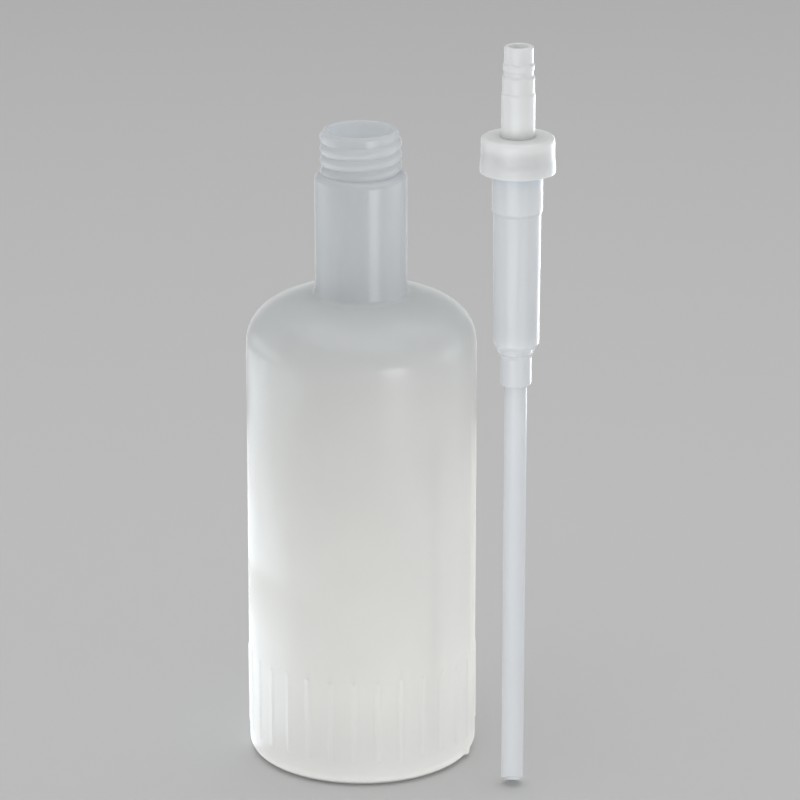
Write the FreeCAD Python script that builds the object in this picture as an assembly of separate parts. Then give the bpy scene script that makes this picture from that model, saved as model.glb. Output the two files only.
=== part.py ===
import FreeCAD, Part
import math
import os

# Wash bottle, 500 ml, with the pump insert that belongs in its mouth. Millimetres, +Z up.
# The bottle stands on Z = 0 with its axis on the Z axis. The insert stands beside it on the tip of its
# dip tube, as the two lie apart on a bench. Every insert height below is counted from that tip.

# ---- Bottle: outer form ----
BOTTLE_HEIGHT = 200.0
BODY_R = 35.3
WALL = 1.3
SHOULDER_START = 131.0
SHOULDER_RISE = 18.2
SHOULDER_POWER = 2.67  # 2 would be an ellipse: the real shoulder is a little squarer
SHOULDER_POINTS = 9
NECK_R = 14.05
NECK_ROOT_FILLET = 1.6
NECK_TOP = 184.6
NECK_TOP_ROUND = 2.1
NECK_BORE_ROUND = 1.2
BASE_CORNER_R = 4.0
BASE_RING_R = 26.0  # the standing ring reaches from here to the base corner
BASE_RECESS = 2.0

# ---- Bottle: mouth and thread ----
MOUTH_R = 9.8
MOUTH_LENGTH = 13.0
RIM_R = 11.15
RIM_ROUND = 0.7
RIM_LOW = 197.2
THREAD_ROOT_R = 11.35
THREAD_ROOT_TOP = 196.8
THREAD_PITCH = 3.5
THREAD_BEAD_R = 1.05
THREAD_CREST_R = 12.4
THREAD_TOP = 198.18  # height of the bead's centre at its upper end
THREAD_TOP_DEG = 240.0  # azimuth of that end
THREAD_TURNS = 3.16

# ---- Bottle: marks left by the mould ----
PARTING_DEG = -20.0  # the mould's two halves met in the upright plane at this azimuth
GRIP_RIBS = 30
GRIP_RIB_R = 0.6
GRIP_RIB_PROUD = 0.35
GRIP_LOW = 8.0
GRIP_HIGH = 34.8
PINCH_TAB = (1.5, 2.2, 2.6)  # radial, along the wall, upright
PINCH_TAB_Z = 1.0
PINCH_TAB_INSET = 0.6  # from the body's side to the tab's outer face
PINCH_TAB_ROUND = 0.4

# ---- Insert: place and heights above the tip of the dip tube ----
INSERT_X = 46.0
INSERT_Y = -33.0
TUBE_TOP = 138.0
SLEEVE_LOW = 130.3
CONE_LOW = 139.0
CONE_HIGH = 142.5
CYLINDER_LOW = 143.4
STEP_LOW = 183.3
STEP_HIGH = 184.3
LIP_LOW = 198.0
FLANGE_LOW = 199.3
FLANGE_HIGH = 201.0
HOUSING_TOP = 203.1
COLLAR_TOP = 206.7
STEM_TOP = 233.8

# ---- Insert: dip tube ----
TUBE_R = 3.375
TUBE_BORE_R = 2.55
TUBE_BEVEL = 4.1  # height of the slanted cut at the tip

# ---- Insert: housing ----
SLEEVE_R = 4.65
CONE_HIGH_R = 6.33
HOUSING_LOW_R = 6.83
HOUSING_MID_R = 7.03
HOUSING_TOP_R = 7.5
CYLINDER_R = 5.8
FLANGE_R = 10.0
SEAT_HIGH = 145.0
SEAT_LOW = 143.6
SEAT_WIDE_R = 2.9
INLET_R = 1.75
FIN_COUNT = 4
FIN_WIDTH = 1.3
FIN_TURN_DEG = 10.0
WINDOW_LOW = 140.1
WINDOW_HIGH = 142.3
WINDOW_FLOOR_R = 4.8

# ---- Insert: collar ----
COLLAR_R = 10.88
COLLAR_LIP_R = 11.2
COLLAR_ROUND = 1.2
LIP_ROUND = 0.35
LIP_HIGH = 198.9
SKIRT_LOW = 200.2
COLLAR_PLATE_LOW = 203.1
GUIDE_LOW = 196.0
GUIDE_R = 5.7
STEM_BORE_R = 5.03

# ---- Insert: stem ----
STEM_R = 4.95
STEM_UPPER_R = 4.75
SPIGOT_R = 4.3
SNAP_RING_R = 4.6
GROOVE_R = 4.34
STEM_LOW = 193.0
STEM_FOOT_TOP = 195.9
STEM_FOOT_R = 5.4
STEP_TO_UPPER = (219.4, 220.0)
UPPER_END = 224.4
GROOVE = (225.2, 226.4)
SNAP_RING = (226.8, 228.2)
SPIGOT_LOW = 228.9
SPIGOT_ROUND = 0.75
BORE_CHAMFER = 0.3
OUTLET_BORE_R = 2.8
BALL_STOP_R = 2.0
CHAMBER_R = 2.7
CHAMBER_LOW = 203.0
CHAMBER_HIGH = 210.7
BALL_STOP_LOW = 211.9
BALL_STOP_HIGH = 213.5

# ---- Insert: inner works ----
ROD_R = 3.0
ROD_BORE_R = 1.5
ROD_LOW = 183.0
ROD_PORT_R = 0.9
PISTON_LOW = 185.0
PISTON_R = 5.75
PISTON_WAIST_R = 5.2
PISTON_LIP = 1.6
PISTON_CHAMFER = (0.3, 0.4)  # radial, upright
CAGE_HIGH = 152.5
CAGE_PLATE = 1.9
CAGE_HOLE_R = 0.8
CAGE_HOLE_PCD_R = 2.2
CAGE_HOLES = 6
CAGE_BORE_R = 2.9
SPRING_WIRE_R = 0.45
SPRING_MEAN_R = 4.2
SPRING_COILS = 8
INLET_BALL_R = 2.5
OUTLET_BALL_R = 2.3
HAIRLINE = 0.03  # gap left between a ball or a spring and what it rests on


def arc(centre, radius, start_deg, end_deg):
    """An outline step: a round corner about centre, as its middle and end points."""
    def at(deg):
        turn = math.radians(deg)
        return (centre[0] + radius * math.cos(turn), centre[1] + radius * math.sin(turn))
    return ("arc", at((start_deg + end_deg) / 2), at(end_deg))


def outline(start, *steps):
    """A closed wire in the XZ plane: its steps are points, arcs, or curves that start upright and end level."""
    def vector(point):
        return FreeCAD.Vector(point[0], 0, point[1])
    edges = []
    here = start
    for step in steps + (start,):
        if step[0] == "arc":
            edges.append(Part.Arc(vector(here), vector(step[1]), vector(step[2])).toShape())
            here = step[2]
        elif step[0] == "curve":
            curve = Part.BSplineCurve()
            points = [vector(point) for point in step[1]]
            curve.interpolate(Points=points, InitialTangent=vector((0, 1)), FinalTangent=vector((-1, 0)))
            edges.append(curve.toShape())
            here = step[1][-1]
        elif math.dist(here, step) > 1e-6:
            edges.append(Part.LineSegment(vector(here), vector(step)).toShape())
            here = step
    return Part.Wire(edges)


def turned(start, *steps):
    """The solid that an outline of (radius, height) points sweeps about the Z axis."""
    face = Part.Face(outline(start, *steps))
    return face.revolve(FreeCAD.Vector(0, 0, 0), FreeCAD.Vector(0, 0, 1), 360)


def tube(outer_r, inner_r, low, high):
    """A plain ring of rectangular section."""
    return turned((inner_r, low), (outer_r, low), (outer_r, high), (inner_r, high))


def bar(length, width, height, low):
    """A box centred on the Z axis, from the height low upwards."""
    return Part.makeBox(length, width, height, FreeCAD.Vector(-length / 2, -width / 2, low))


def rotated(shape, degrees):
    """A copy of shape turned about the Z axis."""
    copy = shape.copy()
    copy.rotate(FreeCAD.Vector(0, 0, 0), FreeCAD.Vector(0, 0, 1), degrees)
    return copy


# ---- Bottle ----
def shoulder_curve(body_r, start_height, rise, neck_r):
    """Points of a superellipse from the neck, where it is almost level, down to the upright body."""
    points = []
    for index in range(SHOULDER_POINTS):
        share = index / (SHOULDER_POINTS - 1)
        first = math.asin((neck_r / body_r) ** (SHOULDER_POWER / 2))
        turn = first + share * (math.pi / 2 - first)
        radius = body_r * math.sin(turn) ** (2 / SHOULDER_POWER)
        height = start_height + rise * max(0.0, math.cos(turn)) ** (2 / SHOULDER_POWER)
        points.append((radius, height))
    return points


def bottle_shell():
    """The outer form less the cavity: one thin wall from the base's recess to the mouth."""
    recess_rise = (BASE_RING_R ** 2 + BASE_RECESS ** 2) / (2 * BASE_RECESS)
    recess_half = math.degrees(math.asin(BASE_RING_R / recess_rise))
    recess_centre = (0.0, BASE_RECESS - recess_rise)
    outer_curve = shoulder_curve(BODY_R, SHOULDER_START, SHOULDER_RISE, NECK_R + NECK_ROOT_FILLET)
    root = outer_curve[0]
    outer = turned(
        (0.0, BASE_RECESS),
        arc(recess_centre, recess_rise, 90, 90 - recess_half),
        (BODY_R - BASE_CORNER_R, 0.0),
        arc((BODY_R - BASE_CORNER_R, BASE_CORNER_R), BASE_CORNER_R, -90, 0),
        (BODY_R, SHOULDER_START),
        ("curve", outer_curve[::-1]),
        arc((root[0], root[1] + NECK_ROOT_FILLET), NECK_ROOT_FILLET, -90, -180),
        (NECK_R, NECK_TOP),
        arc((NECK_R - NECK_TOP_ROUND, NECK_TOP), NECK_TOP_ROUND, 0, 75),
        (THREAD_ROOT_R, NECK_TOP + NECK_TOP_ROUND),
        (THREAD_ROOT_R, THREAD_ROOT_TOP),
        (RIM_R, RIM_LOW),
        (RIM_R, BOTTLE_HEIGHT - RIM_ROUND),
        arc((RIM_R - RIM_ROUND, BOTTLE_HEIGHT - RIM_ROUND), RIM_ROUND, 0, 90),
        (0.0, BOTTLE_HEIGHT),
    )
    inner_r = BODY_R - WALL
    neck_bore_r = NECK_R - WALL
    inner_curve = shoulder_curve(inner_r, SHOULDER_START, SHOULDER_RISE - WALL, neck_bore_r)
    cavity = turned(
        (0.0, BASE_RECESS + WALL),
        arc((0.0, recess_centre[1] + WALL), recess_rise, 90, 90 - recess_half),
        (inner_r - BASE_CORNER_R, WALL),
        arc((inner_r - BASE_CORNER_R, WALL + BASE_CORNER_R), BASE_CORNER_R, -90, 0),
        (inner_r, SHOULDER_START),
        ("curve", inner_curve[::-1]),
        (neck_bore_r, NECK_TOP - NECK_BORE_ROUND),
        arc((neck_bore_r - NECK_BORE_ROUND, NECK_TOP - NECK_BORE_ROUND), NECK_BORE_ROUND, 0, 90),
        (MOUTH_R, BOTTLE_HEIGHT - MOUTH_LENGTH),
        (MOUTH_R, BOTTLE_HEIGHT + 1.0),
        (0.0, BOTTLE_HEIGHT + 1.0),
    )
    return outer.cut(cavity)


def thread_bead():
    """The raised round thread: right-handed, one start, running down from THREAD_TOP."""
    height = THREAD_PITCH * THREAD_TURNS
    centre_r = THREAD_CREST_R - THREAD_BEAD_R
    helix = Part.makeHelix(THREAD_PITCH, height, centre_r)
    ring = Part.makeCircle(THREAD_BEAD_R, FreeCAD.Vector(centre_r, 0, 0), FreeCAD.Vector(0, 1, 0))
    bead = Part.Wire(helix).makePipeShell([Part.Wire(ring)], True, True)
    bead.translate(FreeCAD.Vector(0, 0, THREAD_TOP - height))
    return rotated(bead, THREAD_TOP_DEG - 360.0 * (THREAD_TURNS % 1.0))


def grip_ribs():
    """Upright half-round ribs spaced round the foot of the body, with rounded ends."""
    centre_r = BODY_R + GRIP_RIB_PROUD - GRIP_RIB_R
    low = GRIP_LOW + GRIP_RIB_R
    high = GRIP_HIGH - GRIP_RIB_R
    rib = turned(
        (0.0, low - GRIP_RIB_R),
        arc((0.0, low), GRIP_RIB_R, -90, 0),
        (GRIP_RIB_R, high),
        arc((0.0, high), GRIP_RIB_R, 0, 90),
    )
    rib.translate(FreeCAD.Vector(centre_r, 0, 0))
    return [rotated(rib, PARTING_DEG + (index + 0.5) * 360.0 / GRIP_RIBS) for index in range(GRIP_RIBS)]


def pinch_tab():
    """The stub that the mould's pinch-off leaves at the foot, in the parting plane."""
    depth, width, height = PINCH_TAB
    outer_face = BODY_R - PINCH_TAB_INSET
    tab = Part.makeBox(depth, width, height, FreeCAD.Vector(outer_face - depth, -width / 2, PINCH_TAB_Z))
    outer_edges = [edge for edge in tab.Edges if edge.CenterOfMass.x > outer_face - PINCH_TAB_ROUND]
    tab = tab.makeFillet(PINCH_TAB_ROUND, outer_edges)
    return rotated(tab, PARTING_DEG)


def make_bottle():
    return bottle_shell().fuse([thread_bead(), pinch_tab()] + grip_ribs())


# ---- Insert ----
def make_dip_tube():
    """A straight tube with a slanted tip, whose cut faces the front."""
    pipe = tube(TUBE_R, TUBE_BORE_R, 0.0, TUBE_TOP)
    side = Part.makePolygon([
        FreeCAD.Vector(-2 * TUBE_R, -TUBE_R, TUBE_BEVEL),
        FreeCAD.Vector(-2 * TUBE_R, TUBE_R, 0.0),
        FreeCAD.Vector(-2 * TUBE_R, TUBE_R, -1.0),
        FreeCAD.Vector(-2 * TUBE_R, -TUBE_R - 1.0, -1.0),
        FreeCAD.Vector(-2 * TUBE_R, -TUBE_R - 1.0, TUBE_BEVEL),
        FreeCAD.Vector(-2 * TUBE_R, -TUBE_R, TUBE_BEVEL),
    ])
    return pipe.cut(Part.Face(side).extrude(FreeCAD.Vector(4 * TUBE_R, 0, 0)))


def cone_windows():
    """The pockets between the fins of the housing's cone."""
    pocket = tube(2 * HOUSING_LOW_R, WINDOW_FLOOR_R, WINDOW_LOW, WINDOW_HIGH)
    for index in range(FIN_COUNT // 2):
        fin = bar(4 * HOUSING_LOW_R, FIN_WIDTH, WINDOW_HIGH - WINDOW_LOW + 2, WINDOW_LOW - 1)
        pocket = pocket.cut(rotated(fin, FIN_TURN_DEG + 90.0 * index))
    return pocket


def make_pump_housing():
    """The cylinder with its flange above, and the inlet seat, finned cone and sleeve below."""
    body = turned(
        (TUBE_R, SLEEVE_LOW),
        (SLEEVE_R, SLEEVE_LOW),
        (SLEEVE_R, CONE_LOW),
        (CONE_HIGH_R, CONE_HIGH),
        (HOUSING_LOW_R, CYLINDER_LOW),
        (HOUSING_MID_R, STEP_LOW),
        (HOUSING_TOP_R, STEP_HIGH),
        (HOUSING_TOP_R, FLANGE_LOW),
        (FLANGE_R, FLANGE_LOW),
        (FLANGE_R, FLANGE_HIGH),
        (HOUSING_TOP_R, FLANGE_HIGH),
        (HOUSING_TOP_R, HOUSING_TOP),
        (CYLINDER_R, HOUSING_TOP),
        (CYLINDER_R, SEAT_HIGH),
        (SEAT_WIDE_R, SEAT_HIGH),
        (INLET_R, SEAT_LOW),
        (INLET_R, TUBE_TOP),
        (TUBE_R, TUBE_TOP),
    )
    return body.cut(cone_windows())


def make_sealing_washer():
    return tube(FLANGE_R, HOUSING_TOP_R, LIP_LOW, FLANGE_LOW)


def make_collar():
    """The round cap that snaps over the housing's flange and guides the stem."""
    lip_side = COLLAR_LIP_R - LIP_ROUND
    return turned(
        (FLANGE_R, LIP_LOW),
        (lip_side, LIP_LOW),
        arc((lip_side, LIP_LOW + LIP_ROUND), LIP_ROUND, -90, 0),
        (COLLAR_LIP_R, LIP_HIGH),
        (COLLAR_R, SKIRT_LOW),
        (COLLAR_R, COLLAR_TOP - COLLAR_ROUND),
        arc((COLLAR_R - COLLAR_ROUND, COLLAR_TOP - COLLAR_ROUND), COLLAR_ROUND, 0, 90),
        (STEM_BORE_R + BORE_CHAMFER, COLLAR_TOP),
        (STEM_BORE_R, COLLAR_TOP - BORE_CHAMFER),
        (STEM_BORE_R, GUIDE_LOW),
        (GUIDE_R, GUIDE_LOW),
        (GUIDE_R, COLLAR_PLATE_LOW),
        (FLANGE_R, COLLAR_PLATE_LOW),
    )


def make_stem():
    """The hollow plunger stem: spigot and snap ring above, ball chamber and rod socket inside."""
    return turned(
        (ROD_R, STEM_LOW),
        (STEM_FOOT_R, STEM_LOW),
        (STEM_FOOT_R, STEM_FOOT_TOP),
        (STEM_R, STEM_FOOT_TOP),
        (STEM_R, STEP_TO_UPPER[0]),
        (STEM_UPPER_R, STEP_TO_UPPER[1]),
        (STEM_UPPER_R, UPPER_END),
        (GROOVE_R, GROOVE[0]),
        (GROOVE_R, GROOVE[1]),
        (SNAP_RING_R, SNAP_RING[0]),
        (SNAP_RING_R, SNAP_RING[1]),
        (SPIGOT_R, SPIGOT_LOW),
        (SPIGOT_R, STEM_TOP - SPIGOT_ROUND),
        arc((SPIGOT_R - SPIGOT_ROUND, STEM_TOP - SPIGOT_ROUND), SPIGOT_ROUND, 0, 90),
        (OUTLET_BORE_R + BORE_CHAMFER, STEM_TOP),
        (OUTLET_BORE_R, STEM_TOP - BORE_CHAMFER),
        (OUTLET_BORE_R, BALL_STOP_HIGH),
        (BALL_STOP_R, BALL_STOP_HIGH),
        (BALL_STOP_R, BALL_STOP_LOW),
        (CHAMBER_R, CHAMBER_HIGH),
        (CHAMBER_R, CHAMBER_LOW),
        (ROD_R, CHAMBER_LOW),
    )


def make_piston_rod():
    """The hollow rod in the stem's socket, with cross ports below the piston."""
    rod = tube(ROD_R, ROD_BORE_R, ROD_LOW, CHAMBER_LOW)
    port = Part.makeCylinder(
        ROD_PORT_R, 4 * ROD_R, FreeCAD.Vector(-2 * ROD_R, 0, ROD_LOW), FreeCAD.Vector(1, 0, 0)
    )
    return rod.cut([port, rotated(port, 90)])


def make_piston():
    """The soft piston between the rod's ports and the stem's foot, with a sealing lip at each end."""
    lip_low = PISTON_LOW + PISTON_LIP
    lip_high = STEM_LOW - PISTON_LIP
    inwards, upwards = PISTON_CHAMFER
    return turned(
        (ROD_R, PISTON_LOW),
        (PISTON_R - inwards, PISTON_LOW),
        (PISTON_R, PISTON_LOW + upwards),
        (PISTON_R, lip_low - upwards),
        (PISTON_WAIST_R, lip_low),
        (PISTON_WAIST_R, lip_high),
        (PISTON_R, lip_high + upwards),
        (PISTON_R, STEM_LOW - upwards),
        (PISTON_R - inwards, STEM_LOW),
        (ROD_R, STEM_LOW),
    )


def make_ball_cage():
    """The plug at the foot of the cylinder: it holds the inlet ball and carries the spring."""
    plate_low = CAGE_HIGH - CAGE_PLATE
    cage = turned(
        (CAGE_BORE_R, SEAT_HIGH),
        (CYLINDER_R, SEAT_HIGH),
        (CYLINDER_R, CAGE_HIGH),
        (0.0, CAGE_HIGH),
        (0.0, plate_low),
        (CAGE_BORE_R, plate_low),
    )
    hole = Part.makeCylinder(CAGE_HOLE_R, CAGE_PLATE + 2, FreeCAD.Vector(CAGE_HOLE_PCD_R, 0, plate_low - 1))
    return cage.cut([rotated(hole, index * 360.0 / CAGE_HOLES) for index in range(CAGE_HOLES)])


def make_return_spring():
    """A steel compression spring between the cage and the piston."""
    low = CAGE_HIGH + HAIRLINE + SPRING_WIRE_R
    height = PISTON_LOW - HAIRLINE - SPRING_WIRE_R - low
    helix = Part.makeHelix(height / SPRING_COILS, height, SPRING_MEAN_R)
    start = FreeCAD.Vector(SPRING_MEAN_R, 0, 0)
    wire = Part.Wire(Part.makeCircle(SPRING_WIRE_R, start, FreeCAD.Vector(0, 1, 0)))
    spring = Part.Wire(helix).makePipeShell([wire], True, True)
    spring.translate(FreeCAD.Vector(0, 0, low))
    return spring


def make_inlet_ball():
    """The inlet valve's ball, resting in the cone of the housing's seat."""
    slope = math.atan2(SEAT_WIDE_R - INLET_R, SEAT_HIGH - SEAT_LOW)
    rise = (INLET_BALL_R + HAIRLINE - INLET_R * math.cos(slope)) / math.sin(slope)
    return Part.makeSphere(INLET_BALL_R, FreeCAD.Vector(0, 0, SEAT_LOW + rise))


def make_outlet_ball():
    """The outlet valve's ball, resting on the bore's edge at the top of the rod."""
    rise = math.sqrt((OUTLET_BALL_R + HAIRLINE) ** 2 - ROD_BORE_R ** 2)
    return Part.makeSphere(OUTLET_BALL_R, FreeCAD.Vector(0, 0, CHAMBER_LOW + rise))


INSERT_PIECES = {
    "dip_tube": make_dip_tube,
    "pump_housing": make_pump_housing,
    "sealing_washer": make_sealing_washer,
    "collar": make_collar,
    "stem": make_stem,
    "piston_rod": make_piston_rod,
    "piston": make_piston,
    "ball_cage": make_ball_cage,
    "return_spring": make_return_spring,
    "inlet_ball": make_inlet_ball,
    "outlet_ball": make_outlet_ball,
}


def write_step(node, shape):
    """Writes one node's solid to its own file, and prints what it holds."""
    solid = shape.Solids[0] if shape.Solids else Part.Solid(Part.Shell(shape.Faces))
    solid.exportStep(os.path.join("parts", node + ".step"))
    print(node, "solids", len(shape.Solids), "valid", solid.isValid(), "volume mm3", round(solid.Volume, 1))


os.makedirs("parts", exist_ok=True)
write_step("bottle", make_bottle())
for piece_name, make_piece in INSERT_PIECES.items():
    piece = make_piece()
    piece.translate(FreeCAD.Vector(INSERT_X, INSERT_Y, 0))
    write_step(piece_name, piece)
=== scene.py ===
import math

import bpy
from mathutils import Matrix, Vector


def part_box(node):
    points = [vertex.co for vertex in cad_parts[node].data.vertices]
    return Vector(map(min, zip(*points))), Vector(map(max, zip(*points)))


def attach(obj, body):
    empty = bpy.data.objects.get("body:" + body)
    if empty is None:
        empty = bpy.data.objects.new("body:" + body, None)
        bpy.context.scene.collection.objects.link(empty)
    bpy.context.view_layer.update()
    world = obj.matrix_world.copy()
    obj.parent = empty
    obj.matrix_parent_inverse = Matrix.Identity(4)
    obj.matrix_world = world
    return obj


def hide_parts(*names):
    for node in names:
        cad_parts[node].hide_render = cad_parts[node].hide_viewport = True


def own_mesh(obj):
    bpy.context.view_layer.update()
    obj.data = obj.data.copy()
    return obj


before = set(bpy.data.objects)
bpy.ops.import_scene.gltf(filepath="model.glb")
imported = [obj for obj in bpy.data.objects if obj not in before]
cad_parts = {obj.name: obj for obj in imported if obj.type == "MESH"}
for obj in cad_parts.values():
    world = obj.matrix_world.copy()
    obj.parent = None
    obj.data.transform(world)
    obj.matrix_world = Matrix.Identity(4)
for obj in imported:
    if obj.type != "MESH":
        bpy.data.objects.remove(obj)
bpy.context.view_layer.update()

# Looks of the wash bottle and its pump insert. Lengths in the sections on shape are millimetres, as in
# the CAD model, and MM turns them into Blender's metres. Heights are counted from the surface that both
# stand on. The sections on camera, floor and light are in metres.
MM = 0.001


# ---- What the frame says ----
def node_size(node):
    """Lowest and highest corner of a CAD node, in millimetres."""
    low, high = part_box(node)
    return low / MM, high / MM


STEM_BOX = node_size("stem")
BOTTLE_TOP = node_size("bottle")[1].z
INSERT_AXIS = ((STEM_BOX[0].x + STEM_BOX[1].x) / 2, (STEM_BOX[0].y + STEM_BOX[1].y) / 2)
STEM_TOP = STEM_BOX[1].z
COLLAR_TOP = node_size("collar")[1].z
LIP_LOW = node_size("collar")[0].z
HOUSING_LOW = node_size("pump_housing")[0].z
HOUSING_TOP = node_size("pump_housing")[1].z
TUBE_TOP = node_size("dip_tube")[1].z
PISTON_LOW = node_size("piston")[0].z
PISTON_TOP = node_size("piston")[1].z
CAGE_TOP = node_size("ball_cage")[1].z

# ---- Bottle sizes ----
BOTTLE_AXIS = (0.0, 0.0)
BODY_R = 35.3
WALL = 1.3
WALL_WAVE = 0.07
SHOULDER_START = 131.0
SHOULDER_RISE = 18.2
SHOULDER_POWER = 2.67
SHOULDER_ROWS = 24
NECK_R = 14.05
NECK_ROOT_FILLET = 1.6
NECK_TOP = 184.6
NECK_TOP_ROUND = 2.1
BORE_ROUND = 1.2
BASE_CORNER_R = 4.0
BASE_RING_R = 26.0
BASE_RECESS = 2.0
RECESS_SPHERE_R = (BASE_RING_R ** 2 + BASE_RECESS ** 2) / (2 * BASE_RECESS)
RECESS_DEG = math.degrees(math.asin(BASE_RING_R / RECESS_SPHERE_R))
PINCH_DEPTH = 0.45
PINCH_HALF = 0.7
MOUTH_R = 9.8
MOUTH_LENGTH = 13.0
MOUTH_ROUND = 0.4
RIM_R = 11.15
RIM_ROUND = 0.7
THREAD_ROOT_R = 11.4
THREAD_CREST_R = 12.38
THREAD_PITCH = 3.5
THREAD_TOP = 198.18
THREAD_TOP_DEG = 240.0
THREAD_TURNS = 3.16
THREAD_FULLNESS = 0.72  # under 1 makes the crests broad and the valleys narrow
THREAD_RUN_IN = 0.14  # of a turn
PARTING_DEG = -20.0
SEAM_PROUD = 0.09
SEAM_HALF_DEG = 0.6
TAB_PROUD = 1.5
TAB_HEIGHT = 2.4
GRIP_RIBS = 30
GRIP_FIRST_DEG = PARTING_DEG + 9.7
GRIP_RIB_HALF = 0.7
GRIP_RIB_PROUD = 0.28
GRIP_LOW = 8.0
GRIP_HIGH = 34.8
GRIP_END = 1.2  # the mesh is finer over this length at both ends of the ribs
FLASH_DEG = 158.0
FLASH_PROUD = 0.55

# ---- Insert sizes ----
STEM_R = 4.95
STEM_SKIRT_R = 5.4
STEM_SKIRT_TOP = 195.9
SPIGOT_R = 4.75
SPIGOT_GROOVE_R = 4.34
SPIGOT_LAND_R = 4.6
SPIGOT_TIP_R = 4.3
OUTLET_R = 2.8
BALL_STOP_R = 2.0
BALL_ROOM_R = 2.7
ROD_R = 3.0
ROD_BORE_R = 1.5
ROD_TOP = 203.0
PISTON_R = 5.75
COLLAR_R = 10.88
COLLAR_LIP_R = 11.2
COLLAR_BORE_R = 5.03
COLLAR_GUIDE_R = 5.7
COLLAR_GUIDE_LOW = 196.0
COLLAR_ROOF = 203.1
FLANGE_R = 10.0
FLANGE_LOW = 199.3
FLANGE_HIGH = 201.0
HOUSING_R = 7.03
HOUSING_FOOT_R = 6.83
HOUSING_SHOULDER_R = 7.5
CYLINDER_R = 5.8
CYLINDER_LOW = 145.0
BALL_CHAMBER_R = 2.9
INLET_R = 1.75
CONE_LOW = 139.0
CONE_HIGH = 142.5
CONE_TOP_R = 6.33
SLEEVE_R = 4.65
FIN_DEG = 10.0
FIN_HALF = 0.65
FIN_MIDDLE_R = 5.6
FIN_EDGE_DEG = math.degrees(FIN_HALF / FIN_MIDDLE_R)
FIN_BEVEL_DEG = 1.2
WINDOW_LOW = 140.1
WINDOW_HIGH = 142.3
WINDOW_FLOOR_R = 4.8
TUBE_SOCKET_R = 3.4
TUBE_R = 3.375
TUBE_BORE_R = 2.55
TIP_CUT = 4.1  # how much higher one side of the slanted tip ends than the other
TIP_BLEND = 24.0  # the mesh is sheared over this length above the tip
SPRING_R = 4.2
SPRING_WIRE_R = 0.45
SPRING_COILS = 9.5


# ---- Mesh helpers ----
def rounded(corners, steps=5):
    """A closed path through (radius, height, rounding) corners, with an arc and two support points each."""
    path = []
    count = len(corners)
    for index, (radius, height, rounding) in enumerate(corners):
        here = Vector((radius, height))
        before = Vector(corners[index - 1][:2]) - here
        after = Vector(corners[(index + 1) % count][:2]) - here
        half = before.angle(after) / 2
        reach = min(rounding / math.tan(half), 0.45 * before.length, 0.45 * after.length)
        true_r = reach * math.tan(half)
        inward = (before.normalized() + after.normalized()).normalized()
        middle = here + inward * (true_r / math.sin(half))
        first = here + before.normalized() * reach
        last = here + after.normalized() * reach
        start = first - middle
        sweep = start.angle_signed(last - middle)
        path.append(first + before.normalized() * min(0.12 * true_r, 0.05 * before.length))
        for step in range(steps + 1):
            turn = -sweep * step / steps
            spoke = Vector((
                start.x * math.cos(turn) - start.y * math.sin(turn),
                start.x * math.sin(turn) + start.y * math.cos(turn),
            ))
            path.append(middle + spoke)
        path.append(last + after.normalized() * min(0.12 * true_r, 0.05 * after.length))
    return [(point.x, point.y) for point in path]


def divided(path, longest):
    """The closed path with its long straight stretches cut into shorter ones, for well-shaped faces."""
    cut = []
    for index, here in enumerate(path):
        there = path[(index + 1) % len(path)]
        pieces = max(1, math.ceil(math.dist(here, there) / longest))
        radii = spread(here[0], there[0], pieces)
        heights = spread(here[1], there[1], pieces)
        cut += list(zip(radii, heights))
    return cut


def mesh_object(name, points, faces, sharp_deg=40.0):
    """A smooth-shaded object from millimetre points, sharp only where faces meet steeply."""
    mesh = bpy.data.meshes.new(name)
    mesh.from_pydata([[value * MM for value in point] for point in points], [], faces)
    mesh.validate()
    mesh.shade_smooth()
    mesh.set_sharp_from_angle(angle=math.radians(sharp_deg))
    obj = bpy.data.objects.new(name, mesh)
    bpy.context.scene.collection.objects.link(obj)
    return obj


def lathe(name, path, axis, columns, closed=True, shift=None):
    """Turns a path of (radius, height) about an upright axis. A radius of 0 makes one pole point.
    columns is a number or a list of angles in degrees. shift(row, radius, height, degrees) gives the
    radius and height that a point moves to."""
    angles = [360.0 * i / columns for i in range(columns)] if isinstance(columns, int) else columns
    around = len(angles)
    points, rows = [], []
    for row, (radius, height) in enumerate(path):
        first = len(points)
        if radius < 1e-6:
            points.append((axis[0], axis[1], height))
            rows.append([first] * around)
            continue
        for degrees in angles:
            r, z = shift(row, radius, height, degrees) if shift else (radius, height)
            turn = math.radians(degrees)
            points.append((axis[0] + r * math.cos(turn), axis[1] + r * math.sin(turn), z))
        rows.append(list(range(first, first + around)))
    faces = []
    last_row = len(rows) if closed else len(rows) - 1
    for row in range(last_row):
        low, high = rows[row], rows[(row + 1) % len(rows)]
        for i in range(around):
            j = (i + 1) % around
            corners = [low[i], low[j], high[j], high[i]]
            face = [c for k, c in enumerate(corners) if c != corners[k - 1]]
            if len(face) >= 3:
                faces.append(face)
    return mesh_object(name, points, faces)


def spread(first, last, count):
    """count values from first towards last, without last itself."""
    return [first + (last - first) * i / count for i in range(count)]


def smooth_step(value):
    """0 up to 0, 1 from 1 on, and a smooth rise between them."""
    share = min(1.0, max(0.0, value))
    return share * share * (3.0 - 2.0 * share)


def angle_apart(first, second):
    """The turn from the second angle to the first, from -180 to 180 degrees."""
    return (first - second + 180.0) % 360.0 - 180.0


# ---- Bottle ----
def arc_rows(centre, radius, start_deg, end_deg, count):
    """Points of an arc in the (radius, height) plane, without its last point."""
    return [
        (centre[0] + radius * math.cos(math.radians(d)), centre[1] + radius * math.sin(math.radians(d)))
        for d in spread(start_deg, end_deg, count)
    ]


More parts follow.
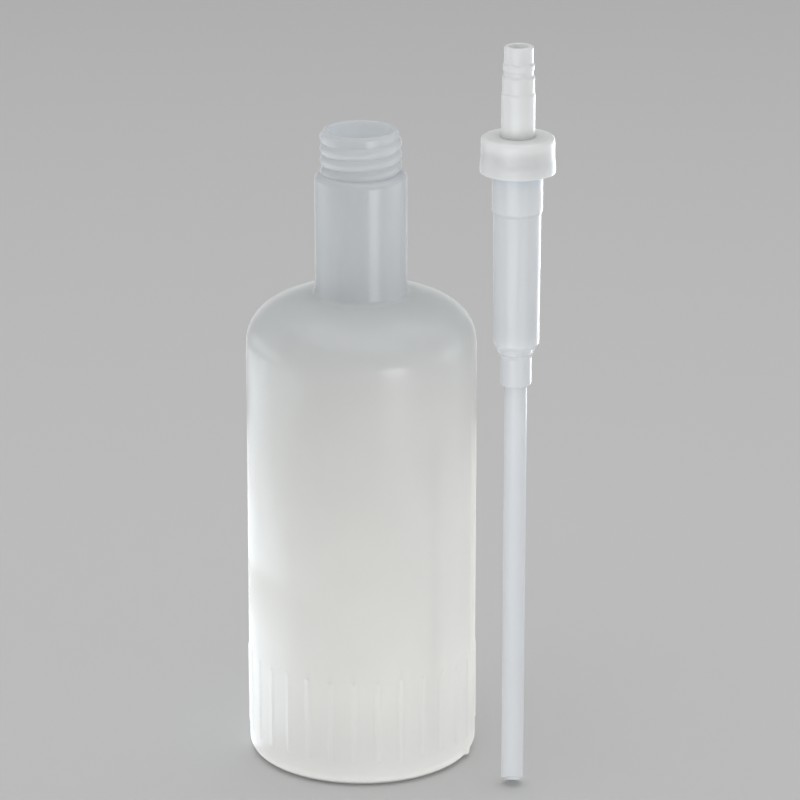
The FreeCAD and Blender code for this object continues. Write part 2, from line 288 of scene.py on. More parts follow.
def shoulder_rows(body_r, rise, neck_r):
    """The squarish dome from the upright body to the neck's root."""
    last = math.acos((neck_r / body_r) ** (SHOULDER_POWER / 2))
    return [
        (
            body_r * math.cos(turn) ** (2 / SHOULDER_POWER),
            SHOULDER_START + rise * math.sin(turn) ** (2 / SHOULDER_POWER),
        )
        for turn in [last * (i / SHOULDER_ROWS) ** 1.25 for i in range(SHOULDER_ROWS + 1)]
    ]


def outer_rows():
    """The bottle's outer profile from the middle of the foot to the rim."""
    flat_end = BODY_R - BASE_CORNER_R
    sphere_middle = (0.0, BASE_RECESS - RECESS_SPHERE_R)
    rows = [(0.0, BASE_RECESS)]
    rows += arc_rows(sphere_middle, RECESS_SPHERE_R, 90, 90 - RECESS_DEG, 14)[1:]
    rows += [(BASE_RING_R, 0.03), (BASE_RING_R + 0.6, 0.0), (flat_end - 0.8, 0.0)]
    rows += arc_rows((flat_end, BASE_CORNER_R), BASE_CORNER_R, -90, 0, 14)
    rows += [(BODY_R, z) for z in spread(BASE_CORNER_R, GRIP_LOW, 3)]
    rows += [(BODY_R, z) for z in spread(GRIP_LOW, GRIP_LOW + GRIP_END, 8)]
    rows += [(BODY_R, z) for z in spread(GRIP_LOW + GRIP_END, GRIP_HIGH - GRIP_END, 8)]
    rows += [(BODY_R, z) for z in spread(GRIP_HIGH - GRIP_END, GRIP_HIGH, 8)]
    rows += [(BODY_R, z) for z in spread(GRIP_HIGH, SHOULDER_START, 24)]
    dome = shoulder_rows(BODY_R, SHOULDER_RISE, NECK_R + NECK_ROOT_FILLET)
    rows += dome
    root = dome[-1]
    rows += arc_rows((root[0], root[1] + NECK_ROOT_FILLET), NECK_ROOT_FILLET, -90, -180, 8)[1:]
    rows += [(NECK_R, z) for z in spread(root[1] + NECK_ROOT_FILLET, NECK_TOP, 8)]
    rows += arc_rows((NECK_R - NECK_TOP_ROUND, NECK_TOP), NECK_TOP_ROUND, 0, 80, 10)
    thread_low = NECK_TOP + NECK_TOP_ROUND
    rows += [(THREAD_ROOT_R + 0.25, thread_low + 0.05)]
    rows += [(THREAD_ROOT_R, z) for z in spread(thread_low + 0.3, BOTTLE_TOP - 0.75, 62)]
    rows += arc_rows((RIM_R - RIM_ROUND, BOTTLE_TOP - RIM_ROUND), RIM_ROUND, 4, 90, 6)
    return rows


def inner_rows():
    """The cavity's profile from the rim down to the middle of the foot."""
    inner_r = BODY_R - WALL
    bore_r = NECK_R - WALL
    mouth_low = BOTTLE_TOP - MOUTH_LENGTH
    rows = [(RIM_R - 0.75, BOTTLE_TOP)]
    rows += arc_rows((MOUTH_R + MOUTH_ROUND, BOTTLE_TOP - MOUTH_ROUND), MOUTH_ROUND, 90, 180, 5)
    rows += [(MOUTH_R, z) for z in spread(BOTTLE_TOP - MOUTH_ROUND, mouth_low + 0.5, 10)]
    rows += [(MOUTH_R + 0.1, mouth_low + 0.2), (bore_r - 1.6, mouth_low - 0.8)]
    rows += arc_rows((bore_r - BORE_ROUND, NECK_TOP - BORE_ROUND), BORE_ROUND, 80, 0, 6)
    dome = shoulder_rows(inner_r, SHOULDER_RISE - WALL, bore_r)
    rows += [(bore_r, z) for z in spread(NECK_TOP - BORE_ROUND, dome[-1][1], 8)]
    rows += dome[::-1]
    rows += [(inner_r, z) for z in spread(SHOULDER_START, WALL + BASE_CORNER_R, 16)][1:]
    rows += arc_rows((inner_r - BASE_CORNER_R, WALL + BASE_CORNER_R), BASE_CORNER_R, 0, -90, 8)
    rows += [(inner_r - BASE_CORNER_R, WALL), (BASE_RING_R, WALL)]
    sphere_middle = (0.0, BASE_RECESS + WALL - RECESS_SPHERE_R)
    rows += arc_rows(sphere_middle, RECESS_SPHERE_R, 90 - RECESS_DEG, 90, 10)[1:]
    rows += [(0.0, BASE_RECESS + WALL)]
    return rows


def from_seam(degrees):
    """How many degrees an angle is from the nearer parting line."""
    return min(abs(angle_apart(degrees, PARTING_DEG)), abs(angle_apart(degrees, PARTING_DEG + 180.0)))


def bottle_columns():
    """Angles of the mesh's upright lines: close together at each rib and at the parting line."""
    beside = (-6.0, -3.4, -1.6, -1.15, -0.8, -0.35, 0.35, 0.8, 1.15, 1.6, 3.4)
    ribs = [GRIP_FIRST_DEG + index * 360.0 / GRIP_RIBS for index in range(GRIP_RIBS)]
    angles = [middle + step for middle in ribs for step in beside]
    angles = [angle for angle in angles if from_seam(angle) > 0.8]  # the seam has lines of its own
    for seam in (PARTING_DEG, PARTING_DEG + 180.0):
        angles += [seam + step for step in (-SEAM_HALF_DEG, -0.25, 0.25, SEAM_HALF_DEG)]
    return sorted(angle % 360.0 for angle in angles)


def thread_rise(height, degrees):
    """How far the thread's bead stands out of its root at one place."""
    turns_down = ((THREAD_TOP_DEG - degrees) % 360.0) / 360.0
    best = 0.0
    while turns_down <= THREAD_TURNS + 0.2:
        away = abs(height - (THREAD_TOP - THREAD_PITCH * turns_down)) / (THREAD_PITCH / 2)
        if away < 1.0:
            run_in = smooth_step(turns_down / THREAD_RUN_IN)
            bead = math.cos(away * math.pi / 2) ** THREAD_FULLNESS
            best = max(best, (THREAD_CREST_R - THREAD_ROOT_R) * bead * run_in)
        turns_down += 1.0
    return best


def rib_rise(height, degrees):
    """How far a grip rib stands out of the body at one place, with rounded ends."""
    pitch = 360.0 / GRIP_RIBS
    apart = (degrees - GRIP_FIRST_DEG + pitch / 2) % pitch - pitch / 2
    across = math.radians(apart) * BODY_R / GRIP_RIB_HALF
    end = min(height - GRIP_LOW, GRIP_HIGH - height)
    if end <= 0 or abs(across) > 1.8:
        return 0.0
    return GRIP_RIB_PROUD * math.exp(-across ** 4) * math.sqrt(smooth_step(end / 1.1))


def wall_wave(height, degrees):
    """The slight unevenness that a blown wall has."""
    turn = math.radians(degrees)
    wave = 0.50 * math.sin(2 * turn + height / 31.0) + 0.30 * math.sin(3 * turn - height / 17.0 + 1.3)
    return WALL_WAVE * (wave + 0.25 * math.sin(5 * turn + height / 11.0 + 0.4))


def seam_rise(degrees):
    """The fine ridge that the mould's parting plane leaves on both sides."""
    return SEAM_PROUD * max(0.0, 1.0 - from_seam(degrees) / SEAM_HALF_DEG)


def tab_rise(height, degrees):
    """The stub of the pinch-off at the foot, in the parting plane."""
    across = abs(angle_apart(degrees, PARTING_DEG)) / 2.6
    upright = abs(height - TAB_HEIGHT) / 1.4
    return TAB_PROUD * (1.0 - smooth_step(across - 0.35)) * (1.0 - smooth_step(upright - 0.35))


def flash_rise(height, degrees):
    """The nick of flash on the rim's edge, opposite the tab."""
    across = abs(angle_apart(degrees, FLASH_DEG)) / 9.0
    return FLASH_PROUD * (1.0 - smooth_step(across)) * smooth_step((height - (BOTTLE_TOP - 1.6)) / 1.2)


def make_bottle():
    """The bottle's shell as one turned skin, with what stands out of it pushed out of the outer side."""
    outer = outer_rows()
    inner = inner_rows()

    def shift(row, radius, height, degrees):
        if row >= len(outer):
            fade = smooth_step((radius - MOUTH_R) / 6.0)
            return radius + fade * wall_wave(height, degrees), height
        if radius < BODY_R - BASE_CORNER_R - 1.0 and height < BASE_RECESS + 0.1:
            across = abs(radius * math.sin(math.radians(degrees - PARTING_DEG)))
            fade = smooth_step((BASE_RING_R - radius) / 3.0)
            pinch = PINCH_DEPTH * math.exp(-(across / PINCH_HALF) ** 2) * fade
            return radius, max(0.0, height - pinch)
        # The wall's wave and the seam fade out at the foot and at the neck's top.
        fade = smooth_step((height - 1.0) / 6.0) * smooth_step((BOTTLE_TOP - 16.0 - height) / 8.0)
        r = radius + fade * wall_wave(height, degrees) + fade * seam_rise(degrees)
        if height < GRIP_HIGH + 1.0:
            r += rib_rise(height, degrees)
        if height < 5.0:
            r = min(BODY_R, r + tab_rise(height, degrees))
        on_finish = height > NECK_TOP + 1.5 and radius < NECK_R - 1.4
        if on_finish and height < BOTTLE_TOP - 0.9:
            r = max(r, THREAD_ROOT_R + thread_rise(height, degrees))
        if on_finish and radius > RIM_R - 0.72:
            r += flash_rise(height, degrees)
        return r, height

    return lathe("bottle_skin", outer + inner, BOTTLE_AXIS, bottle_columns(), closed=False, shift=shift)


# ---- Insert ----
def make_stem():
    """Up the outside over skirt, shank and spigot, and back down the outlet, the ball's room and socket."""
    corners = [
        # the skirt under the collar's guide and the shank
        (ROD_R, STEM_BOX[0].z, 0.1), (STEM_SKIRT_R, STEM_BOX[0].z, 0.2),
        (STEM_SKIRT_R, STEM_SKIRT_TOP, 0.2), (STEM_R, STEM_SKIRT_TOP + 0.05, 0.1),
        # the spigot, with a groove and a land near its tip
        (STEM_R, 219.4, 0.5), (SPIGOT_R, 220.0, 0.5), (SPIGOT_R, 224.4, 0.5),
        (SPIGOT_GROOVE_R, 225.2, 0.35), (SPIGOT_GROOVE_R, 226.4, 0.3),
        (SPIGOT_LAND_R, 226.8, 0.25), (SPIGOT_LAND_R, 228.2, 0.3),
        (SPIGOT_TIP_R, 228.9, 0.4), (SPIGOT_TIP_R, STEM_TOP, 0.75),
        # the outlet, the ball's stop and room, and the socket's floor
        (OUTLET_R, STEM_TOP, 0.35), (OUTLET_R, 213.5, 0.2), (BALL_STOP_R, 213.5, 0.2),
        (BALL_STOP_R, 211.9, 0.2), (BALL_ROOM_R, 210.7, 0.3), (BALL_ROOM_R, ROD_TOP, 0.1),
        (ROD_R, ROD_TOP, 0.05),
    ]
    return lathe("stem_skin", divided(rounded(corners), 1.5), INSERT_AXIS, 120)


def make_collar():
    """The cap with its lip, its rounded top and the guide for the stem inside."""
    corners = [
        (FLANGE_R, LIP_LOW, 0.1), (COLLAR_LIP_R, LIP_LOW, 0.2), (COLLAR_LIP_R - 0.08, 198.7, 0.6),
        (COLLAR_R, 200.4, 1.6), (COLLAR_R, COLLAR_TOP, 1.2), (COLLAR_BORE_R, COLLAR_TOP, 0.3),
        (COLLAR_BORE_R, COLLAR_GUIDE_LOW, 0.1), (COLLAR_GUIDE_R, COLLAR_GUIDE_LOW, 0.15),
        (COLLAR_GUIDE_R, COLLAR_ROOF, 0.05), (FLANGE_R, COLLAR_ROOF, 0.05),
    ]
    return lathe("collar_skin", divided(rounded(corners, steps=7), 1.5), INSERT_AXIS, 160)


def housing_columns():
    """Angles of the housing's upright lines, with pairs of close ones at the sides of the four fins."""
    outside = FIN_EDGE_DEG + FIN_BEVEL_DEG
    marks = (0.0, FIN_EDGE_DEG - FIN_BEVEL_DEG, FIN_EDGE_DEG, outside)
    angles = []
    for quarter in range(4):
        middle = FIN_DEG + 90.0 * quarter
        angles += [middle + side * mark for mark in marks for side in (-1, 1)]
        angles += spread(middle + outside, middle + 90.0 - outside, 22)[1:]
    return sorted({round(angle % 360.0, 4) for angle in angles})


def housing_path():
    """The housing's profile and the numbers of the first and last row on the floor of the windows."""
    socket_top = TUBE_TOP + 0.02
    corners = [
        # the sleeve and the cone
        (TUBE_SOCKET_R, HOUSING_LOW, 0.15), (SLEEVE_R, HOUSING_LOW, 0.35), (SLEEVE_R, CONE_LOW, 0.5),
        # the housing, which widens a little upwards, and its flange
        (CONE_TOP_R, CONE_HIGH, 0.35), (HOUSING_FOOT_R, 143.4, 0.6), (HOUSING_R, 183.3, 0.5),
        (HOUSING_SHOULDER_R, 184.3, 0.5), (HOUSING_SHOULDER_R, FLANGE_LOW, 0.1),
        (FLANGE_R, FLANGE_LOW, 0.1), (FLANGE_R, FLANGE_HIGH, 0.2), (HOUSING_SHOULDER_R, FLANGE_HIGH, 0.1),
        (HOUSING_SHOULDER_R, HOUSING_TOP, 0.15), (CYLINDER_R, HOUSING_TOP, 0.25),
        # the cylinder, the ball's chamber, the inlet and the tube's socket
        (CYLINDER_R, CYLINDER_LOW, 0.1), (BALL_CHAMBER_R, CYLINDER_LOW, 0.1), (INLET_R, 143.6, 0.1),
        (INLET_R, socket_top, 0.1), (TUBE_SOCKET_R, socket_top, 0.05),
    ]
    path = divided(rounded(corners), 2.0)

    def on_cone(point):
        radius, height = point
        is_between = CONE_LOW + 0.3 < height < CONE_HIGH - 0.2
        return is_between and SLEEVE_R + 0.07 < radius < CONE_TOP_R - 0.13

    start = next(row for row, point in enumerate(path) if on_cone(point))
    path = [point for point in path if not on_cone(point)]
    low, high = WINDOW_LOW, WINDOW_HIGH
    slope = (CONE_TOP_R - SLEEVE_R) / (CONE_HIGH - CONE_LOW)
    sill = [low - 0.06, low, low + 0.02, low + 0.25, low + 0.8, low + 1.4]
    lintel = [high - 0.25, high - 0.02, high, high + 0.06]
    first_inside, last_inside = start + sill.index(low) + 1, start + len(sill) + lintel.index(high) - 1
    path[start:start] = [(SLEEVE_R + slope * (z - CONE_LOW), z) for z in sill + lintel]
    return path, first_inside, last_inside


def make_housing():
    """The pump housing. Between the fins, its cone steps in to the floor of four windows."""
    path, first_inside, last_inside = housing_path()

    def shift(row, radius, height, degrees):
        from_fin = (degrees - FIN_DEG) % 90.0
        from_fin = min(from_fin, 90.0 - from_fin)
        if first_inside <= row <= last_inside and from_fin > FIN_EDGE_DEG - 0.01:
            return WINDOW_FLOOR_R, height
        return radius, height

    return lathe("housing_skin", path, INSERT_AXIS, housing_columns(), shift=shift)


def make_washer():
    corners = [
        (HOUSING_SHOULDER_R, LIP_LOW, 0.2), (FLANGE_R, LIP_LOW, 0.2),
        (FLANGE_R, FLANGE_LOW, 0.1), (HOUSING_SHOULDER_R, FLANGE_LOW, 0.1),
    ]
    return lathe("washer_skin", divided(rounded(corners), 1.0), INSERT_AXIS, 120)


def make_tube():
    """The dip tube, whose slanted tip is cut by sliding its lower ring along the wall."""
    corners = [
        (TUBE_BORE_R, 0.0, 0.12), (TUBE_R, 0.0, 0.12),
        (TUBE_R, TUBE_TOP, 0.2), (TUBE_BORE_R, TUBE_TOP, 0.2),
    ]
    path = divided(rounded(corners, steps=3), 1.5)
    slant = TIP_CUT / (2 * TUBE_R)

    def shift(row, radius, height, degrees):
        forward = -radius * math.sin(math.radians(degrees))
        lift = slant * (forward + TUBE_R) * (1.0 - smooth_step(height / TIP_BLEND))
        return radius, height + lift

    return lathe("tube_skin", path, INSERT_AXIS, 72, shift=shift)


def make_rod():
    low = PISTON_LOW - 2.0
    corners = [(ROD_BORE_R, low, 0.1), (ROD_R, low, 0.2), (ROD_R, ROD_TOP, 0.1), (ROD_BORE_R, ROD_TOP, 0.1)]
    return lathe("rod_skin", rounded(corners, steps=3), INSERT_AXIS, 64)


def make_piston():
    """The piston, with the same lip at both ends."""
    lip = [
        (ROD_R, 0.0, 0.05), (PISTON_R - 0.3, 0.0, 0.2), (PISTON_R, 0.5, 0.2), (PISTON_R, 1.2, 0.2),
        (PISTON_R - 0.55, 1.7, 0.2),
    ]
    corners = [(radius, PISTON_LOW + inset, rounding) for radius, inset, rounding in lip]
    corners += [(radius, PISTON_TOP - inset, rounding) for radius, inset, rounding in reversed(lip)]
    return lathe("piston_skin", rounded(corners, steps=3), INSERT_AXIS, 96)


def make_spring():
    """The return spring as a swept wire, with a closed coil at each end."""
    sides = 10
    low, high = CAGE_TOP + 0.03 + SPRING_WIRE_R, PISTON_LOW - 0.03 - SPRING_WIRE_R
    dead = 2.2 * SPRING_WIRE_R  # the height of a closed coil
    steps = int(SPRING_COILS * 40)
    points, faces = [], []
    for step in range(steps + 1):
        turns = SPRING_COILS * step / steps
        active = (turns - 1.0) / (SPRING_COILS - 2.0)
        height = low + dead * min(1.0, turns) + (high - low - 2 * dead) * min(1.0, max(0.0, active))
        height += dead * max(0.0, turns - (SPRING_COILS - 1.0))
        turn = 2 * math.pi * turns
        for side in range(sides):
            spin = 2 * math.pi * side / sides
            r = SPRING_R + SPRING_WIRE_R * math.cos(spin)
            points.append((
                INSERT_AXIS[0] + r * math.cos(turn),
                INSERT_AXIS[1] + r * math.sin(turn),
                height + SPRING_WIRE_R * math.sin(spin),
            ))
    for ring in range(0, steps * sides, sides):
        for side in range(sides):
            beside = (side + 1) % sides
            faces.append((ring + side, ring + sides + side, ring + sides + beside, ring + beside))
    faces.append(tuple(range(sides)))
    faces.append(tuple(range(len(points) - sides, len(points)))[::-1])
    return mesh_object("spring_wire", points, faces, 60.0)


# ---- Materials ----
def new_material(name):
    """A new material with its node tree's nodes and links and its shader."""
    material = bpy.data.materials.new(name)
    material.use_nodes = True
    nodes = material.node_tree.nodes
    return material, nodes, material.node_tree.links, nodes["Principled BSDF"]


def mottled(nodes, links, scale, detail, low, high, low_at=0.35, high_at=0.65):
    """A noise in object space, as a blend of two colours and as the plain noise."""
    coordinates = nodes.new("ShaderNodeTexCoord")
    noise = nodes.new("ShaderNodeTexNoise")
    noise.inputs["Scale"].default_value = scale
    noise.inputs["Detail"].default_value = detail
    ramp = nodes.new("ShaderNodeValToRGB")
    ramp.color_ramp.elements[0].position = low_at
    ramp.color_ramp.elements[1].position = high_at
    ramp.color_ramp.elements[0].color = low
    ramp.color_ramp.elements[1].color = high
    links.new(coordinates.outputs["Object"], noise.inputs["Vector"])
    links.new(noise.outputs["Fac"], ramp.inputs["Fac"])
    return ramp.outputs["Color"], noise.outputs["Fac"]


def grey(value):
    """An even grey as a node colour."""
    return (value, value, value, 1.0)


def tinted(nodes, links, colour, start, end, tint):
    """Multiplies a colour by a tint that fades in from the start height to the end height, in metres."""
    coordinates = nodes.new("ShaderNodeTexCoord")
    split = nodes.new("ShaderNodeSeparateXYZ")
    fade = nodes.new("ShaderNodeMapRange")
    fade.interpolation_type = "SMOOTHSTEP"
    fade.inputs["From Min"].default_value = start
    fade.inputs["From Max"].default_value = end
    blend = nodes.new("ShaderNodeMix")
    blend.data_type = "RGBA"
    blend.blend_type = "MULTIPLY"
    blend.inputs[7].default_value = tint
    links.new(coordinates.outputs["Object"], split.inputs["Vector"])
    links.new(split.outputs["Z"], fade.inputs["Value"])
    links.new(fade.outputs["Result"], blend.inputs[0])
    links.new(colour, blend.inputs[6])
    return blend.outputs[2]


def plastic(name, low, high, rough, through, glow, grain=900.0, bump=0.05, glow_scale=0.003, painted_shade_tints=()):
    """A milky moulding: mottled colour and gloss, a fine grain, light that soaks in and light from behind.
    low and high are the two colours of the mottling and rough is the mean roughness.
    through is the share of light that the wall lets pass, and glow the share that soaks in.
    tints are (start, end, tint) for stretches of the height that are painted darker, some also bluer, as
    painted shade."""
    material, nodes, links, shader = new_material(name)
    colour, _ = mottled(nodes, links, 28.0, 3.0, low, high)
    # Painted shade: each tint darkens a stretch of the height.
    for start, end, tint in painted_shade_tints:
        colour = tinted(nodes, links, colour, start, end, tint)
    links.new(colour, shader.inputs["Base Color"])
    gloss, _ = mottled(nodes, links, 45.0, 1.0, grey(rough - 0.015), grey(rough + 0.015), 0.2, 0.8)
    links.new(gloss, shader.inputs["Roughness"])
    _, fine = mottled(nodes, links, grain, 2.0, grey(0), grey(1))
    relief = nodes.new("ShaderNodeBump")
    relief.inputs["Strength"].default_value = bump
    relief.inputs["Distance"].default_value = 0.0002
    links.new(fine, relief.inputs["Height"])
    links.new(relief.outputs["Normal"], shader.inputs["Normal"])
    shader.inputs["IOR"].default_value = 1.5
    shader.inputs["Subsurface Weight"].default_value = glow
    shader.inputs["Subsurface Radius"].default_value = (1.0, 1.0, 1.0)
    shader.inputs["Subsurface Scale"].default_value = glow_scale
    if through > 0:
        shader.inputs["Specular IOR Level"].default_value = 0.5 / (1.0 - through)
        behind = nodes.new("ShaderNodeBsdfTranslucent")
        links.new(colour, behind.inputs["Color"])
        blend = nodes.new("ShaderNodeMixShader")
        blend.inputs["Fac"].default_value = through
        links.new(shader.outputs["BSDF"], blend.inputs[1])
        links.new(behind.outputs["BSDF"], blend.inputs[2])
        links.new(blend.outputs["Shader"], nodes["Material Output"].inputs["Surface"])
    return material


def metal(name, colour, rough):
    """A bare metal with faint streaks in its tone and gloss."""
    material, nodes, links, shader = new_material(name)
    tint, _ = mottled(nodes, links, 400.0, 3.0, grey(colour - 0.06), grey(colour + 0.04))
    links.new(tint, shader.inputs["Base Color"])
    gloss, _ = mottled(nodes, links, 900.0, 2.0, grey(rough - 0.05), grey(rough + 0.08))
    links.new(gloss, shader.inputs["Roughness"])
    shader.inputs["Metallic"].default_value = 1.0
    return material


# The bottle's neck and the corner of its foot are painted darker, and the neck bluer: painted shade, tinted
# into the colour by height.
# The collar's shade on the top of the housing is painted in the same way.
# Painted shade: the neck is multiplied darker and bluer from 115 mm up.
NECK_PAINTED_SHADE = (0.115, 0.165, (0.945, 0.965, 0.995, 1.0))
# Painted shade: the corner of the foot is multiplied darker towards the floor.
FOOT_PAINTED_SHADE = (0.036, 0.001, (0.86, 0.865, 0.875, 1.0))
# Painted shade: the housing's top, under the collar, is multiplied darker and bluer.
COLLAR_PAINTED_SHADE = (0.1915, 0.1955, (0.84, 0.90, 0.97, 1.0))
MILKY = plastic(
    "milky_polyethylene", (0.868, 0.868, 0.855, 1), (0.893, 0.89, 0.878, 1), rough=0.24, through=0.5,
    glow=1.0, glow_scale=0.005, painted_shade_tints=(NECK_PAINTED_SHADE, FOOT_PAINTED_SHADE),
)
WHITE = plastic(
    "white_plastic", (0.86, 0.855, 0.84, 1), (0.90, 0.895, 0.88, 1), rough=0.33, through=0.1, glow=0.8,
)
HOUSING = plastic(
    "housing_plastic", (0.90, 0.915, 0.93, 1), (0.93, 0.94, 0.95, 1), rough=0.32, through=0.25, glow=0.8,
    painted_shade_tints=(COLLAR_PAINTED_SHADE,),
)
TUBING = plastic(
    "clear_tube", (0.92, 0.93, 0.945, 1), (0.95, 0.955, 0.965, 1), rough=0.30, through=0.3, glow=0.6,
)
SOFT = plastic(
    "soft_piston", (0.78, 0.79, 0.78, 1), (0.83, 0.83, 0.82, 1), rough=0.45, through=0.0, glow=0.4,
)
FOAM = plastic(
    "washer_foam", (0.76, 0.78, 0.80, 1), (0.84, 0.85, 0.86, 1), rough=0.60, through=0.0, glow=0.3,
    grain=2600.0, bump=0.3,
)
STEEL = metal("spring_steel", colour=0.62, rough=0.25)
BALL = metal("valve_ball", colour=0.68, rough=0.12)


# ---- Pieces ----
def place(obj, body, slot, material, *nodes):
    """Gives a new piece its material and its body, and hides the CAD nodes it stands for. The slot is not
    used.
    """
    obj.data.materials.append(material)
    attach(obj, body)
    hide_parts(*nodes)


place(make_bottle(), "bottle_body", "milky_polyethylene", MILKY, "bottle")
place(make_housing(), "insert_body", "housing_plastic", HOUSING, "pump_housing")
place(make_washer(), "insert_body", "washer_foam", FOAM, "sealing_washer")
place(make_collar(), "insert_body", "white_plastic", WHITE, "collar")
place(make_tube(), "insert_body", "clear_tube", TUBING, "dip_tube")
place(make_spring(), "insert_body", "spring_steel", STEEL, "return_spring")
place(make_stem(), "plunger", "white_plastic", WHITE, "stem")
place(make_rod(), "plunger", "white_plastic", WHITE, "piston_rod")
place(make_piston(), "plunger", "soft_piston", SOFT, "piston")


def dress(node, material):
    """Gives a carried-over CAD node its material."""
    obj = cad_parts[node]
    obj.data.materials.clear()
    obj.data.materials.append(material)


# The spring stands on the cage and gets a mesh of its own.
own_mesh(bpy.data.objects["spring_wire"])

dress("ball_cage", HOUSING)
dress("inlet_ball", BALL)
dress("outlet_ball", BALL)

# ---- Camera ----
VIEW_DISTANCE = 1.300
VIEW_DOWN_DEG = 19.4
TARGET = Vector((0.0, 0.0, 0.100))
AIM = TARGET + Vector((0.0118, 0.0, 0.0140))  # frames the two parts as in the photo
SENSOR_MM = 36.0
LENS_MM = 190.0


def make_camera():
    """The photo's view of the bottle, from in front and above, with the bottle left of the middle."""
    down = math.radians(VIEW_DOWN_DEG)
    camera = bpy.data.objects.new("camera", bpy.data.cameras.new("camera"))
    bpy.context.scene.collection.objects.link(camera)
    camera.location = TARGET + VIEW_DISTANCE * Vector((0.0, -math.cos(down), math.sin(down)))
    camera.rotation_euler = (AIM - camera.location).to_track_quat("-Z", "Y").to_euler()
    camera.data.sensor_width = SENSOR_MM
    camera.data.lens = LENS_MM
    bpy.context.scene.camera = camera


# ---- Floor and light ----
PLAIN = (1.0, 1.0, 1.0)
COOL = (0.89, 0.95, 1.0)
SKY = (0.80, 0.91, 1.0)
WARM = (1.0, 0.98, 0.94)
FLOOR_GREY = 0.62
FLOOR_HALF_WIDTH = 3.0
FLOOR_FRONT = -2.2
FLOOR_BACK = 1.6
BACKDROP_BEND = 0.8
BACKDROP_TOP = 3.2
SOFTBOX_DISTANCE = 0.35
OVERHEAD_HEIGHT = 1.2
GLOW_HEIGHT = 0.0015
WORLD_STRENGTH = 0.50


def make_floor():
    """A pale floor that curves up into the backdrop."""
    bend = [math.radians(degrees) for degrees in range(6, 91, 6)]
    profile = [(FLOOR_FRONT, 0.0), (FLOOR_BACK, 0.0)]
    profile += [
        (FLOOR_BACK + BACKDROP_BEND * math.sin(turn), BACKDROP_BEND * (1 - math.cos(turn))) for turn in bend
    ]
    profile.append((FLOOR_BACK + BACKDROP_BEND, BACKDROP_TOP))
    sides = (-FLOOR_HALF_WIDTH, FLOOR_HALF_WIDTH)
    points = [(x / MM, y / MM, z / MM) for y, z in profile for x in sides]
    faces = [(2 * i, 2 * i + 1, 2 * i + 3, 2 * i + 2) for i in range(len(profile) - 1)]
    floor = mesh_object("floor", points, faces)
    material, _, _, shader = new_material("floor_paper")
    shader.inputs["Base Color"].default_value = (FLOOR_GREY, FLOOR_GREY, FLOOR_GREY, 1.0)
    shader.inputs["Roughness"].default_value = 0.85
    floor.data.materials.append(material)


def lit_group(name, members):
    """A collection that limits a light to these objects."""
    group = bpy.data.collections.new(name)
    for obj in members:
        group.objects.link(obj)
    return group


def add_light(name, shape, width, height, radiance, colour, lit):
    """An area light of even radiance that the camera doesn't see. lit is the group that it lights."""
    lamp = bpy.data.lights.new(name, "AREA")
    lamp.shape = shape
    lamp.size = width
    lamp.size_y = height
    area = math.pi * width * height / 4 if shape == "ELLIPSE" else width * height
    lamp.energy = radiance * math.pi * area
    lamp.color = colour
    obj = bpy.data.objects.new(name, lamp)
    obj.visible_camera = False
    obj.light_linking.receiver_collection = lit
    bpy.context.scene.collection.objects.link(obj)
    return obj


def softbox(name, lit, azimuth, low, high, width, radiance, colour=PLAIN):
    """An upright light that faces the bottle's axis. Azimuth 0 is the camera's side and grows towards +X.
    Its lower and upper edges are heights above the floor, all in metres."""
    obj = add_light(name, "RECTANGLE", width, high - low, radiance, colour, lit)
    turn = math.radians(azimuth)
    spoke = Vector((math.sin(turn), -math.cos(turn), 0.0))
    obj.location = SOFTBOX_DISTANCE * spoke + Vector((0.0, 0.0, (low + high) / 2))
    obj.rotation_euler = (-spoke).to_track_quat("-Z", "Y").to_euler()


def overhead(name, lit, size, radiance, colour=PLAIN):
    """A square light above the object, facing down."""
    obj = add_light(name, "RECTANGLE", size, size, radiance, colour, lit)
    obj.location = (0.0, 0.0, OVERHEAD_HEIGHT)


def table_glow(name, lit, centre, size, radiance, colour=PLAIN):
    """A round glow that lies on the floor and lights the object from below."""
    obj = add_light(name, "ELLIPSE", size, size, radiance, colour, lit)
    obj.location = (centre[0], centre[1], GLOW_HEIGHT)
    obj.rotation_euler = (math.pi, 0.0, 0.0)


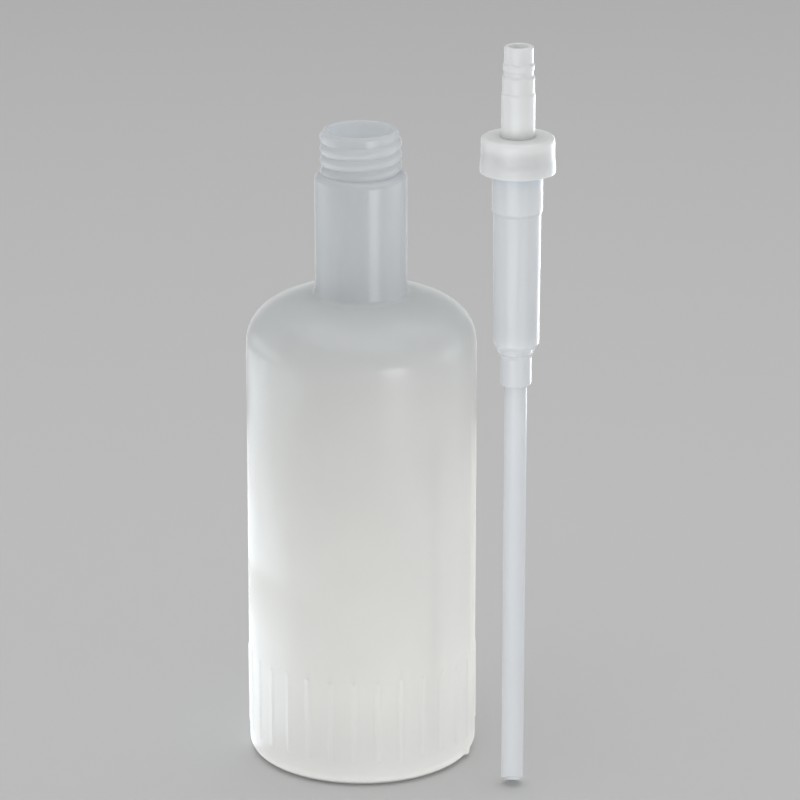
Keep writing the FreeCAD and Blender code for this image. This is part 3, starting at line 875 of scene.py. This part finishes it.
def make_world():
    """An even white surrounding, which fills the shadows."""
    world = bpy.data.worlds.new("studio")
    world.use_nodes = True
    background = world.node_tree.nodes["Background"]
    background.inputs["Color"].default_value = (1.0, 1.0, 1.0, 1.0)
    background.inputs["Strength"].default_value = WORLD_STRENGTH
    bpy.context.scene.world = world


def make_lights():
    """The bottle is lit from the left, from below and by one key light, and the insert more evenly."""
    pieces = [obj for obj in bpy.data.objects if obj.type == "MESH" and obj.name != "floor"]
    both = lit_group("lit_pieces", pieces)
    bottle = lit_group("lit_bottle", [obj for obj in pieces if obj.name == "bottle_skin"])
    insert = lit_group("lit_insert", [obj for obj in pieces if obj.name != "bottle_skin"])
    floor = lit_group("lit_floor", [bpy.data.objects["floor"]])
    overhead("floor_wash", floor, size=2.4, radiance=0.60)
    overhead("top_light", both, size=1.6, radiance=0.79, colour=COOL)
    table_glow("table_glow", bottle, centre=(0.01, 0.0), size=0.62, radiance=0.92, colour=WARM)
    table_glow("table_glow_left", bottle, centre=(-0.16, 0.11), size=0.34, radiance=1.38, colour=SKY)
    softbox("key", both, azimuth=33, low=0.020, high=0.100, width=0.15, radiance=2.2)
    softbox("key_top", bottle, azimuth=33, low=0.100, high=0.120, width=0.15, radiance=9.0)
    softbox("left_rim", bottle, azimuth=-126, low=0.003, high=0.035, width=0.26, radiance=2.0, colour=SKY)
    softbox("left_low", bottle, azimuth=-88, low=0.003, high=0.05, width=0.34, radiance=1.45, colour=SKY)
    softbox("left_high", both, azimuth=-106, low=0.08, high=0.18, width=0.32, radiance=1.3, colour=COOL)
    softbox("right_high", both, azimuth=90, low=0.08, high=0.19, width=0.32, radiance=1.4, colour=COOL)
    softbox("back", both, azimuth=180, low=0.003, high=0.20, width=0.36, radiance=0.78)
    softbox("insert_front", insert, azimuth=-15, low=0.003, high=0.17, width=0.30, radiance=3.0, colour=COOL)
    softbox("insert_back", insert, azimuth=140, low=0.003, high=0.17, width=0.30, radiance=5.2, colour=COOL)


make_camera()
make_floor()
make_world()
make_lights()
bpy.context.scene.view_settings.view_transform = "Standard"
